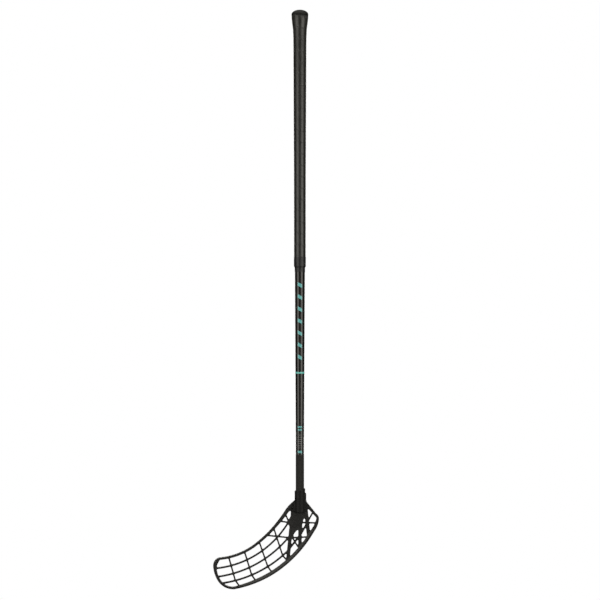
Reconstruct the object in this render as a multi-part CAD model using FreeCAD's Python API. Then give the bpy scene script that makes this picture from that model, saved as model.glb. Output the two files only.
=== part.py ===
import FreeCAD, Part
import math
import os

# Floorball stick: a tapered composite shaft with a wound grip, and a hooked blade screwed to its foot.
# Lengths are in millimetres. Z is the shaft's axis with the end cap on top, the blade's toe points along -X
# and hooks towards +Y. The origin lies on the axis, half way along the hand hold.

# Whole stick
SHAFT_LENGTH = 1000.0          # crown of the end cap to the foot of the shaft
HOLD_LENGTH = 512.4            # crown of the end cap to the lower end of the grip
GLUE_GAP = 0.03                # room for glue between pieces that are stuck together
OVERRUN = 5.0                  # how far a cutting shape runs past what it cuts

# Shaft tube
BUTT_RADIUS = 11.9
BUTT_TAPER = 319.0             # length over which the butt thins down to the hold
HOLD_RADIUS = 10.42
WAIST_RADIUS = 10.17           # at the lower end of the grip
FOOT_RADIUS = 8.3
FOOT_STRAIGHT = 142.0          # length of the straight lower end
TUBE_WALL = 1.6

# End cap
CAP_RADIUS = 16.8
CAP_HEIGHT = 10.8
CAP_CROWN_RADIUS = 4.0         # flat on top of the dome
CAP_STEM_LENGTH = 32.0
CAP_STEM_CLEARANCE = 0.05
CAP_STEM_CHAMFER = 1.5
CAP_SHOULDER_SHARES = (0.78, 0.29)
CAP_SIDE_SHARE = 0.7

# Grip and the knob sleeve under its upper end
TAPE_THICKNESS = 1.45
TAPE_PITCH = 22.8
TAPE_SEAM = 0.6                # open seam between neighbouring turns
TAPE_START_SHARE = 0.35        # share of a turn that the seam stands below the cap, on the +X side
KNOB_RADIUS = 16.7             # outside of the grip, under the cap
KNOB_LENGTH = 52.8
KNOB_CURVE_SHARES = ((0.167, 0.13), (0.356, 0.444), (0.508, 0.75), (0.735, 0.903))
SEAM_SIDES = 5                 # sides of each quarter turn of the seam

# Finishing tape over the lower end of the grip
END_TAPE_THICKNESS = 0.25
END_TAPE_ON_GRIP = 19.0
END_TAPE_STEP = 3.0
END_TAPE_ON_SHAFT = 7.6

# Foil ring on the shaft
STRIPE_DROP = 724.8            # crown of the end cap to the middle of the ring
STRIPE_HEIGHT = 3.5
STRIPE_FOIL = 0.15

# Blade: the socket that takes the foot of the shaft
SOCKET_DEPTH = 41.5
SOCKET_CLEARANCE = 0.05
HOSEL_WALL = 2.15
HOSEL_FLOOR = 4.2
HOSEL_SLANT_DEG = 14.0
LIP_STANDOUT = 0.15
LIP_HEIGHT = 4.0

# Blade: outline and depth
TOE_REACH = 174.3              # shaft axis to the tip of the toe
HEEL_REACH = 38.1              # shaft axis to the back of the heel
BLADE_DROP = 159.9             # foot of the shaft to the lowest edge
HOOK_RADIUS = 900.0            # bend of the blade's face
HOOK_START = 25.0              # distance from the shaft axis where the hook begins
RIB_LEAN_DEG = 18.5            # lean of the cross ribs, and of the lines that the hook bends about
RIM_WIDTH = 5.6
RIM_DEPTH = 9.0
LONG_RIB_WIDTH = 3.5
CROSS_RIB_WIDTH = 3.0
RIB_DEPTH = 6.0
THIN_BAR_WIDTH = 3.1
THIN_BAR_DEPTH = 4.0
BRACE_WIDTH = 2.9
STRUT_WIDTH = 5.4
STRUT_DEPTH = 8.0
SPADE_DEPTH = 7.0

# Places on the blade: share of the toe's or the heel's reach, share of the drop, and share of the rim's width
RIM_SHARES = (
    (-0.165, 0.007, 1.36), (-0.337, -0.240, 1.0), (-0.544, -0.445, 0.90), (-0.717, -0.548, 0.84),
    (-0.926, -0.606, 0.80), (-0.982, -0.646, 1.50), (-1.0, -0.710, 1.36), (-0.987, -0.798, 1.06),
    (-0.946, -0.899, 0.95), (-0.892, -0.960, 0.82), (-0.753, -1.0, 0.84), (-0.544, -0.932, 1.16),
    (-0.337, -0.824, 1.28), (-0.061, -0.587, 1.32), (0.769, -0.257, 1.22), (0.955, -0.169, 1.12),
    (1.0, -0.109, 0.95), (0.969, -0.072, 0.92), (0.860, -0.045, 0.90),
)
HOSEL_HEEL_SHARES = ((0.357, 0.104), (0.318, 0.150))
HOSEL_TOE_SHARES = (-0.060, 0.125)
GUSSET_SHARES = (-0.128, 0.057)
OPENING_HEEL_SHARES = (0.462, 0.014)
OPENING_TOE_SHARES = (-0.116, -0.008)
LONG_RIB_SHARES = (
    ((-0.982, -0.746), (-0.569, -0.604), (-0.126, -0.141)),
    ((-0.960, -0.852), (-0.539, -0.700), (-0.112, -0.315)),
    ((-0.895, -0.930), (-0.510, -0.794), (-0.118, -0.486)),
)
CROSS_RIB_SHARES = (
    ((-0.821, -0.589), (-0.745, -0.887), (-0.695, -0.963)),
    ((-0.638, -0.519), (-0.555, -0.814), (-0.503, -0.898)),
    ((-0.467, -0.397), (-0.370, -0.705), (-0.319, -0.785)),
    ((-0.301, -0.220), (-0.198, -0.567), (-0.143, -0.635)),
    ((-0.161, -0.059), (-0.123, -0.160)),
)
THIN_BAR_SHARES = (
    ((-0.241, -0.135), (-0.115, -0.155)),
    ((0.105, -0.154), (0.945, -0.159)),
    ((-0.393, -0.314), (-0.103, -0.345)),
    ((-0.103, -0.344), (0.472, -0.334)),
)
BRACE_SHARES = (
    ((0.714, -0.009), (0.425, -0.138)),
    ((0.381, -0.158), (0.052, -0.298), (-0.123, -0.485)),
    ((-0.092, -0.332), (-0.009, -0.480)),
)
BRACE_WIDTH_SHARES = (1.0, 1.25, 0.9)
STRUT_SHARES = (
    ((-0.103, -0.238), (-0.139, -0.632), 1.33),
    ((0.004, -0.206), (0.004, -0.525), 1.28),
    ((0.308, 0.025), (0.476, -0.350), 1.37),
)
SPADE_SHARES = (
    (0.367, 0.025), (-0.103, 0.025), (-0.107, -0.076), (-0.125, -0.114), (-0.139, -0.139),
    (-0.134, -0.170), (-0.120, -0.204), (-0.124, -0.251), (-0.128, -0.301), (-0.072, -0.330),
    (-0.072, -0.303), (-0.052, -0.272), (-0.030, -0.247), (-0.018, -0.243), (0.118, -0.243),
    (0.128, -0.172), (0.137, -0.145), (0.218, -0.104), (0.262, -0.100), (0.340, -0.103),
)

# Blade screw, which enters the hosel from the heel side
SCREW_HEIGHT = 28.4            # above the foot of the shaft
SCREW_RADIUS = 1.75
SCREW_LENGTH = 14.0            # under the head
SCREW_POINT = 3.0
HEAD_RADIUS = 3.5
HEAD_HEIGHT = 2.2
HEAD_CROWN_SHARE = 0.55
DRIVE_RADIUS = 1.35
DRIVE_LOBE_RADIUS = 0.42
DRIVE_LOBES = 6
DRIVE_DEPTH = 1.4
RUN_CLEARANCE = 0.05           # round the screw and under its head
HEAD_CLEARANCE = 0.35          # round the head, in the boss
HEAD_SINK = 0.15               # top of the head below the boss
BOSS_RADIUS = 6.6
BOSS_TOP_RADIUS = 4.9
BOSS_BEVEL = 1.9

# Heights on the axis
CROWN_Z = HOLD_LENGTH / 2
TUBE_TOP_Z = CROWN_Z - CAP_HEIGHT
GRIP_END_Z = CROWN_Z - HOLD_LENGTH
FOOT_Z = CROWN_Z - SHAFT_LENGTH
FOOT_TOP_Z = FOOT_Z + FOOT_STRAIGHT
NECK_Z = TUBE_TOP_Z - KNOB_LENGTH
SCREW_Z = FOOT_Z + SCREW_HEIGHT
SOCKET_RADIUS = FOOT_RADIUS + SOCKET_CLEARANCE
HOSEL_RADIUS = SOCKET_RADIUS + HOSEL_WALL
SEAT_X = HOSEL_RADIUS
BOSS_X = SEAT_X + RUN_CLEARANCE + HEAD_HEIGHT + HEAD_SINK
QUARTERS = 4
QUARTER_TURN = math.tau / QUARTERS
UP = FreeCAD.Vector(0, 0, 1)
HEELWARD = FreeCAD.Vector(1, 0, 0)
REARWARD = FreeCAD.Vector(0, 1, 0)


def vec(x, z):
    """Point in the plane of the stick."""
    return FreeCAD.Vector(x, 0, z)


def between(low, high, share):
    """Value at a share of the way from low to high."""
    return low + (high - low) * share


def outline(start, steps):
    """Closed flat face from a start point: a step of one point is a line, one of two points an arc."""
    edges = []
    here = start
    for step in steps:
        if len(step) == 1:
            edges.append(Part.LineSegment(here, step[0]).toShape())
        else:
            edges.append(Part.Arc(here, step[0], step[1]).toShape())
        here = step[-1]
    edges.append(Part.LineSegment(here, start).toShape())
    return Part.Face(Part.Wire(edges))


def lathe(start, steps):
    """Solid turned about the shaft's axis."""
    return outline(start, steps).revolve(FreeCAD.Vector(), UP, 360)


def fused(shapes):
    """Several solids made one."""
    return shapes[0].multiFuse(shapes[1:]).removeSplitter()


def shaft_radius(z):
    """Outer radius of the shaft tube at a height."""
    nodes = (
        (TUBE_TOP_Z, BUTT_RADIUS),
        (TUBE_TOP_Z - BUTT_TAPER, HOLD_RADIUS),
        (GRIP_END_Z, WAIST_RADIUS),
        (FOOT_TOP_Z, FOOT_RADIUS),
        (FOOT_Z, FOOT_RADIUS),
    )
    for (z_high, r_high), (z_low, r_low) in zip(nodes, nodes[1:]):
        if z >= z_low:
            return between(r_low, r_high, (z - z_low) / (z_high - z_low))
    return FOOT_RADIUS


def shaft_tube():
    """Tapered tube, open at both ends, drilled for the blade screw."""
    heights = (TUBE_TOP_Z, TUBE_TOP_Z - BUTT_TAPER, GRIP_END_Z, FOOT_TOP_Z, FOOT_Z)
    outside = [vec(shaft_radius(z), z) for z in heights]
    inside = [vec(shaft_radius(z) - TUBE_WALL, z) for z in reversed(heights)]
    tube = lathe(outside[0], [(node,) for node in outside[1:] + inside])
    hole = Part.makeCylinder(SCREW_RADIUS + RUN_CLEARANCE, BOSS_X, vec(0, SCREW_Z), HEELWARD)
    return tube.cut(hole)


def end_cap():
    """Domed cap on the butt, with a stem that plugs the tube."""
    stem_end_z = TUBE_TOP_Z - CAP_STEM_LENGTH
    stem_radius = shaft_radius(stem_end_z) - TUBE_WALL - CAP_STEM_CLEARANCE
    shoulder_radius_share, shoulder_drop_share = CAP_SHOULDER_SHARES
    shoulder = vec(CAP_RADIUS * shoulder_radius_share, CROWN_Z - CAP_HEIGHT * shoulder_drop_share)
    return lathe(vec(0, CROWN_Z), [
        (vec(CAP_CROWN_RADIUS, CROWN_Z),),
        (shoulder, vec(CAP_RADIUS, CROWN_Z - CAP_HEIGHT * CAP_SIDE_SHARE)),
        (vec(CAP_RADIUS, TUBE_TOP_Z),),
        (vec(stem_radius, TUBE_TOP_Z),),
        (vec(stem_radius, stem_end_z + CAP_STEM_CHAMFER),),
        (vec(stem_radius - CAP_STEM_CHAMFER, stem_end_z),),
        (vec(0, stem_end_z),),
    ])


def grip_radius(z):
    """Outer radius of the grip where it lies on the bare tube."""
    return shaft_radius(z) + GLUE_GAP + TAPE_THICKNESS


def knob_nodes(inset):
    """Points down the flare of the knob, moved in from the outside of the grip."""
    neck_radius = grip_radius(NECK_Z)
    nodes = [vec(KNOB_RADIUS - inset, TUBE_TOP_Z)]
    for depth_share, drop_share in KNOB_CURVE_SHARES:
        radius = between(KNOB_RADIUS, neck_radius, drop_share) - inset
        nodes.append(vec(radius, TUBE_TOP_Z - KNOB_LENGTH * depth_share))
    return nodes


def knob_sleeve():
    """Foam sleeve on the butt that gives the grip its flare."""
    nodes = knob_nodes(TAPE_THICKNESS + GLUE_GAP)
    low_z = nodes[-1].z
    return lathe(nodes[0], [
        (nodes[1], nodes[2]),
        (nodes[3], nodes[4]),
        (vec(shaft_radius(low_z) + GLUE_GAP, low_z),),
        (vec(shaft_radius(TUBE_TOP_Z) + GLUE_GAP, TUBE_TOP_Z),),
    ])


def seam_height(angle):
    """Height of the upper side of the seam at an angle wound down from the cap."""
    return TUBE_TOP_Z - TAPE_PITCH * (TAPE_START_SHARE + angle / math.tau)


def seam_edge(radius, drop, quarter):
    """A quarter turn of one corner of the seam."""
    points = []
    for side in range(SEAM_SIDES + 1):
        angle = QUARTER_TURN * (quarter + side / SEAM_SIDES)
        height = seam_height(angle) - drop
        points.append(FreeCAD.Vector(radius * math.cos(angle), radius * math.sin(angle), height))
    curve = Part.BSplineCurve()
    curve.interpolate(points)
    return curve.toShape()


def seam_cutter():
    """Screw-shaped slab, as thick as the seam, that parts the grip into one wound strip."""
    inner = WAIST_RADIUS - OVERRUN
    outer = KNOB_RADIUS + OVERRUN
    corners = ((inner, 0), (outer, 0), (outer, TAPE_SEAM), (inner, TAPE_SEAM))
    turns = math.ceil((TUBE_TOP_Z - GRIP_END_Z) / TAPE_PITCH)
    quarters = [
        [seam_edge(radius, drop, quarter) for radius, drop in corners]
        for quarter in range(-QUARTERS // 2, QUARTERS * turns)
    ]
    faces = []
    for edges in quarters:
        faces.extend(Part.makeRuledSurface(edges[side - 1], edge) for side, edge in enumerate(edges))
    for edges, end in ((quarters[0], 0), (quarters[-1], -1)):
        corner_points = [edge.Vertexes[end].Point for edge in edges + edges[:1]]
        faces.append(Part.Face(Part.makePolygon(corner_points)))
    shell = Part.makeShell(faces)
    shell.sewShape()
    return Part.Solid(shell)


def grip_tape():
    """Cushioned strip wound down the butt in one unbroken piece."""
    outside = knob_nodes(0)
    inside = knob_nodes(TAPE_THICKNESS)
    taper_z = TUBE_TOP_Z - BUTT_TAPER
    sleeve = lathe(outside[0], [
        (outside[1], outside[2]),
        (outside[3], outside[4]),
        (vec(grip_radius(NECK_Z), NECK_Z),),
        (vec(grip_radius(taper_z), taper_z),),
        (vec(grip_radius(GRIP_END_Z), GRIP_END_Z),),
        (vec(shaft_radius(GRIP_END_Z) + GLUE_GAP, GRIP_END_Z),),
        (vec(shaft_radius(taper_z) + GLUE_GAP, taper_z),),
        (vec(shaft_radius(NECK_Z) + GLUE_GAP, NECK_Z),),
        (inside[4],),
        (inside[3], inside[2]),
        (inside[1], inside[0]),
    ])
    return sleeve.cut(seam_cutter())


def seam_gap():
    """Least distance between neighbouring turns of the grip, measured on points of their edges."""
    turns = (TUBE_TOP_Z - GRIP_END_Z) / TAPE_PITCH
    step = QUARTER_TURN / SEAM_SIDES
    least = TAPE_PITCH
    for side in range(int(turns * QUARTERS * SEAM_SIDES)):
        angle = step * side
        radius = shaft_radius(seam_height(angle)) + GLUE_GAP
        above = FreeCAD.Vector(radius * math.cos(angle), radius * math.sin(angle), seam_height(angle))
        for near in range(-SEAM_SIDES, SEAM_SIDES + 1):
            other = angle + step * near / SEAM_SIDES
            height = seam_height(other) - TAPE_SEAM
            below = FreeCAD.Vector(radius * math.cos(other), radius * math.sin(other), height)
            least = min(least, above.distanceToPoint(below))
    return least


def grip_end_tape():
    """Thin tape wrapped over the lower end of the grip and on to the bare shaft."""
    top_z = GRIP_END_Z + END_TAPE_ON_GRIP
    edge_z = GRIP_END_Z - GLUE_GAP
    step_z = edge_z - END_TAPE_STEP
    low_z = step_z - END_TAPE_ON_SHAFT
    inside = [
        vec(grip_radius(top_z) + GLUE_GAP, top_z),
        vec(grip_radius(GRIP_END_Z) + GLUE_GAP, edge_z),
        vec(shaft_radius(step_z) + GLUE_GAP, step_z),
        vec(shaft_radius(low_z) + GLUE_GAP, low_z),
    ]
    outside = [node + vec(END_TAPE_THICKNESS, 0) for node in inside]
    return lathe(inside[0], [(node,) for node in inside[1:] + outside[::-1]])


def stripe_ring():
    """Thin foil ring round the shaft."""
    top_z = CROWN_Z - STRIPE_DROP + STRIPE_HEIGHT / 2
    low_z = top_z - STRIPE_HEIGHT
    inside = [vec(shaft_radius(z) + GLUE_GAP, z) for z in (top_z, low_z)]
    outside = [node + vec(STRIPE_FOIL, 0) for node in inside]
    return lathe(inside[0], [(inside[1],), (outside[1],), (outside[0],)])


def place(shares):
    """Point on the blade's plane from its shares of the reach and the drop."""
    x_share, z_share = shares[:2]
    reach = TOE_REACH if x_share < 0 else HEEL_REACH
    return vec(reach * x_share, FOOT_Z + BLADE_DROP * z_share)


def arc_normals(nodes):
    """Unit normals at the three points of an arc, to the left of its direction of travel."""
    centre = Part.Circle(*nodes).Center
    chord = nodes[2] - nodes[0]
    normals = []
    for node in nodes:
        normal = (centre - node).normalize()
        travel = vec(normal.z, -normal.x)
        normals.append(normal if travel.dot(chord) > 0 else -normal)
    return normals


def opening_nodes():
    """Points of the rim's inner edge: the outer points moved in by the width of the rim."""
    outer = [place(row) for row in RIM_SHARES]
    normals = [FreeCAD.Vector() for _ in outer]
    for first in range(0, len(outer) - 2, 2):
        for offset, normal in enumerate(arc_normals(outer[first:first + 3])):
            normals[first + offset] = normals[first + offset] + normal
    widths = [RIM_WIDTH * row[2] for row in RIM_SHARES]
    return [node + normal.normalize() * width for node, normal, width in zip(outer, normals, widths)]


def arcs_through(nodes):
    """Outline steps of arcs that run through every second point."""
    return [(nodes[index], nodes[index + 1]) for index in range(1, len(nodes) - 1, 2)]


def through(face):
    """Prism that runs through the blade from front to back."""
    face.translate(FreeCAD.Vector(0, -TOE_REACH / 2, 0))
    return face.extrude(FreeCAD.Vector(0, TOE_REACH, 0))


def band(start, end, width):
    """Straight bar between two points, seen from the front."""
    side = (end - start).normalize().cross(REARWARD) * (width / 2)
    return through(outline(start + side, [(end + side,), (end - side,), (start - side,)]))


def bars(places, width):
    """Straight bars through a row of points."""
    nodes = [place(shares) for shares in places]
    return [band(start, end, width) for start, end in zip(nodes, nodes[1:])]


def curved_bar(places, width):
    """Bar along the arc through three points, seen from the front."""
    nodes = [place(shares) for shares in places]
    centre = Part.Circle(*nodes).Center
    outer = [node + (node - centre).normalize() * (width / 2) for node in nodes]
    inner = [node - (node - centre).normalize() * (width / 2) for node in nodes]
    return through(outline(outer[0], [(outer[1], outer[2]), (inner[2],), (inner[1], inner[0])]))


def hook_slab(depth):
    """Slab of the blade's hook: straight by the hosel, then bent away towards the toe."""
    lean = math.radians(RIB_LEAN_DEG)
    along = vec(-math.cos(lean), -math.sin(lean))
    down = vec(math.sin(lean), -math.cos(lean))
    foot = vec(0, FOOT_Z)
    span = TOE_REACH + BLADE_DROP
    sweep = span / HOOK_RADIUS

    def bent(offset, angle):
        """Point at an offset from the slab's middle, an angle along the bend."""
        radius = HOOK_RADIUS - offset
        reach = HOOK_START + radius * math.sin(angle)
        return foot + along * reach + REARWARD * (HOOK_RADIUS - radius * math.cos(angle))

    front, rear = -depth / 2, depth / 2
    face = outline(foot - along * span + REARWARD * front, [
        (bent(front, 0),),
        (bent(front, sweep / 2), bent(front, sweep)),
        (bent(rear, sweep),),
        (bent(rear, sweep / 2), bent(rear, 0)),
        (foot - along * span + REARWARD * rear,),
    ])
    face.translate(down * -span)
    return face.extrude(down * (2 * span))


def blade_plate(depth):
    """Plate of the blade's whole outline, hooked, of a given depth."""
    rim = [place(row) for row in RIM_SHARES]
    hosel_toe = place(HOSEL_TOE_SHARES)
    face = outline(hosel_toe, [
        (place(GUSSET_SHARES), rim[0]),
        *arcs_through(rim),
        *[(place(row),) for row in HOSEL_HEEL_SHARES],
    ])
    return through(face).common(hook_slab(depth))


def blade_rim():
    """Rim round the blade, with the webs that carry it from the hosel."""
    inner = opening_nodes()
    opening = outline(inner[0], [
        *arcs_through(inner),
        (place(OPENING_HEEL_SHARES),),
        (place(OPENING_TOE_SHARES),),
    ])
    return blade_plate(RIM_DEPTH).cut(through(opening))


def blade_ribs():
    """Long and cross ribs of the blade's face."""
    ribs = [curved_bar(row, LONG_RIB_WIDTH) for row in LONG_RIB_SHARES]
    for row in CROSS_RIB_SHARES:
        ribs.extend(bars(row, CROSS_RIB_WIDTH))
    return fused(ribs).common(blade_plate(RIB_DEPTH))


def blade_thin_bars():
    """Thin level bars behind the ribs at the heel."""
    level = []
    for row in THIN_BAR_SHARES:
        level.extend(bars(row, THIN_BAR_WIDTH))
    return fused(level).common(blade_plate(THIN_BAR_DEPTH))


def blade_heel():
    """Solid spade under the hosel, with the struts and braces that carry the load to the lower rim."""
    spade = through(outline(place(SPADE_SHARES[0]), [(place(row),) for row in SPADE_SHARES[1:]]))
    carriers = []
    for start, end, width_share in STRUT_SHARES:
        carriers.extend(bars((start, end), STRUT_WIDTH * width_share))
    for row, width_share in zip(BRACE_SHARES, BRACE_WIDTH_SHARES):
        carriers.extend(bars(row, BRACE_WIDTH * width_share))
    return fused([spade.common(blade_plate(SPADE_DEPTH)), fused(carriers).common(blade_plate(STRUT_DEPTH))])


def slanted_post(radius, top_z, low_z):
    """Round post about the shaft's axis, cut off above along the slant of the hosel's rim."""
    tall = top_z - low_z + 2 * radius
    post = Part.makeCylinder(radius, tall, vec(0, low_z))
    side = 4 * radius + OVERRUN
    above = Part.makeBox(side, side, side, FreeCAD.Vector(-side / 2, -side / 2, 0))
    above.rotate(FreeCAD.Vector(), REARWARD, -HOSEL_SLANT_DEG)
    above.translate(vec(0, top_z))
    return post.cut(above)


def hosel():
    """Socket tube of the blade with its slanted lip and the boss for the screw."""
    top_z = FOOT_Z + SOCKET_DEPTH
    floor_z = FOOT_Z - HOSEL_FLOOR
    tube = slanted_post(HOSEL_RADIUS, top_z, floor_z)
    lip_radius = HOSEL_RADIUS + LIP_STANDOUT
    below_lip = slanted_post(lip_radius + OVERRUN, top_z - LIP_HEIGHT, floor_z)
    lip = slanted_post(lip_radius, top_z, floor_z).cut(below_lip)
    bevel_x = BOSS_X - BOSS_BEVEL
    boss = Part.makeCylinder(BOSS_RADIUS, bevel_x, vec(0, SCREW_Z), HEELWARD)
    bevel = Part.makeCone(BOSS_RADIUS, BOSS_TOP_RADIUS, BOSS_BEVEL, vec(bevel_x, SCREW_Z), HEELWARD)
    return fused([tube, lip, boss, bevel])


def blade():
    """One moulding: hosel, rim, ribs, bars and struts, bored for the shaft and for the screw."""
    solid = fused([hosel(), blade_rim(), blade_ribs(), blade_thin_bars(), blade_heel()])
    socket = Part.makeCylinder(SOCKET_RADIUS, SOCKET_DEPTH + FOOT_STRAIGHT, vec(0, FOOT_Z))
    shank_hole = Part.makeCylinder(SCREW_RADIUS + RUN_CLEARANCE, BOSS_X + OVERRUN, vec(0, SCREW_Z), HEELWARD)
    head_hole = Part.makeCylinder(HEAD_RADIUS + HEAD_CLEARANCE, BOSS_X, vec(SEAT_X, SCREW_Z), HEELWARD)
    return solid.cut(socket).cut(shank_hole).cut(head_hole)


def blade_screw():
    """Round-headed screw with a lobed drive, along X."""
    head_x = SEAT_X + RUN_CLEARANCE
    top_x = head_x + HEAD_HEIGHT
    crown_x = between(head_x, top_x, HEAD_CROWN_SHARE)
    slope = math.pi / 4
    via = vec(HEAD_RADIUS * math.cos(slope), between(crown_x, top_x, math.sin(slope)))
    face = outline(vec(0, top_x), [
        (via, vec(HEAD_RADIUS, crown_x)),
        (vec(HEAD_RADIUS, head_x),),
        (vec(SCREW_RADIUS, head_x),),
        (vec(SCREW_RADIUS, head_x - SCREW_LENGTH + SCREW_POINT),),
        (vec(0, head_x - SCREW_LENGTH),),
    ])
    screw = face.revolve(FreeCAD.Vector(), UP, 360)
    recess_z = top_x - DRIVE_DEPTH
    drive = [Part.makeCylinder(DRIVE_RADIUS, HEAD_HEIGHT, vec(0, recess_z))]
    for lobe in range(DRIVE_LOBES):
        angle = math.tau * lobe / DRIVE_LOBES
        foot = FreeCAD.Vector(DRIVE_RADIUS * math.cos(angle), DRIVE_RADIUS * math.sin(angle), recess_z)
        drive.append(Part.makeCylinder(DRIVE_LOBE_RADIUS, HEAD_HEIGHT, foot))
    screw = screw.cut(fused(drive))
    screw.rotate(FreeCAD.Vector(), REARWARD, 90)
    screw.translate(vec(0, SCREW_Z))
    return screw


def main():
    """Writes each piece to a file of its own."""
    os.makedirs("parts", exist_ok=True)
    makers = (
        shaft_tube, end_cap, knob_sleeve, grip_tape, grip_end_tape, stripe_ring, blade, blade_screw,
    )
    for maker in makers:
        shape = maker()
        shape.exportStep(f"parts/{maker.__name__}.step")
        print(maker.__name__, len(shape.Solids), shape.isValid(), round(shape.Volume, 1))
    print("least gap between turns of the grip", round(seam_gap(), 3))


main()
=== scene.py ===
"""Floorball stick: its finishes, wound grip and moulded blade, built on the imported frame.

Lengths are in metres. Z is the shaft's axis, the toe points along -X and the front faces -Y.
"""

import logging
import math
from dataclasses import dataclass
from enum import Enum
from typing import Any, Callable, Union

import bmesh
import bpy
from mathutils import Matrix, Vector


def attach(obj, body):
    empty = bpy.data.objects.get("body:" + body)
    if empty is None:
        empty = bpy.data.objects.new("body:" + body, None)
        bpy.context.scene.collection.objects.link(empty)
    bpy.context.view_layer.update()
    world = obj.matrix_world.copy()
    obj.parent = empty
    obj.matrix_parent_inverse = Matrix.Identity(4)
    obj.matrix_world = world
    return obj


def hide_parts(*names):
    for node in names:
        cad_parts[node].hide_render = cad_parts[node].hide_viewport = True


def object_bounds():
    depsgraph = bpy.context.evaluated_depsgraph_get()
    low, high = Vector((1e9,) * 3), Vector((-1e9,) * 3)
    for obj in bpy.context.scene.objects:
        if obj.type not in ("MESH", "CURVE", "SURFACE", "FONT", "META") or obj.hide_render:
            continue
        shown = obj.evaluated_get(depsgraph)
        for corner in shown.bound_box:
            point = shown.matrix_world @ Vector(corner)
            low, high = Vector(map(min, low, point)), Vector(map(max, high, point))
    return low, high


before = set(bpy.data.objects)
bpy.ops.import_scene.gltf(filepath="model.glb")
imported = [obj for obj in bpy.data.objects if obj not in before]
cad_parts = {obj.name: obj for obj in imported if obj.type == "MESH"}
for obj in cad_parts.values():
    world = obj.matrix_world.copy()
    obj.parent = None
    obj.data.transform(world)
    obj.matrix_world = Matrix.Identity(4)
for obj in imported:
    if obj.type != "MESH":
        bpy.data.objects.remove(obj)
CAD_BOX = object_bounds()

MM = 0.001
HALF = 0.5
LOG = logging.getLogger("stick")
STICK_BODY = "stick"
STRIP_MARK = "across"
# Mesh attribute that marks where the painted highlight goes on the blade's ledge
LEDGE_HIGHLIGHT_MARK = "ledge"
Rgb = tuple[float, float, float]
Span = tuple[float, float]
Points = tuple[tuple[float, float], ...]
Profile = list[tuple[float, float]]
Relief = Callable[[float, float, float], float]
WHITE: Rgb = (1.0, 1.0, 1.0)
BLACK: Rgb = (0.0, 0.0, 0.0)


class Slot(str, Enum):
    """Material slots of the record."""

    CAP = "cap"
    GRIP = "grip"
    END_TAPE = "end_tape"
    BLADE = "blade"


class Wire:
    """A node's socket, with arithmetic that adds Math nodes."""

    def __init__(self, graph: "Graph", socket: bpy.types.NodeSocket) -> None:
        """Keeps the graph and the socket."""
        self.graph = graph
        self.socket = socket

    def __add__(self, other: "Value") -> "Wire":
        """Sum."""
        return self.graph.math("ADD", self, other)

    def __radd__(self, other: "Value") -> "Wire":
        """Sum, with the wire on the right."""
        return self.graph.math("ADD", other, self)

    def __sub__(self, other: "Value") -> "Wire":
        """Difference."""
        return self.graph.math("SUBTRACT", self, other)

    def __rsub__(self, other: "Value") -> "Wire":
        """Difference, with the wire on the right."""
        return self.graph.math("SUBTRACT", other, self)

    def __mul__(self, other: "Value") -> "Wire":
        """Product."""
        return self.graph.math("MULTIPLY", self, other)

    def __rmul__(self, other: "Value") -> "Wire":
        """Product, with the wire on the right."""
        return self.graph.math("MULTIPLY", other, self)

    def __truediv__(self, other: "Value") -> "Wire":
        """Quotient."""
        return self.graph.math("DIVIDE", self, other)

    def __lt__(self, other: "Value") -> "Wire":
        """1 where the wire is below the other value, else 0."""
        return self.graph.math("LESS_THAN", self, other)

    def __gt__(self, other: "Value") -> "Wire":
        """1 where the wire is above the other value, else 0."""
        return self.graph.math("GREATER_THAN", self, other)


Value = Union[Wire, float, int, bool, str, tuple, bpy.types.ID]


@dataclass(frozen=True)
class Cloud:
    """Cloudy pattern: the size of its clouds in metres and the finer layers on top of them."""

    size: float
    detail: float = 2.0


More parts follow.
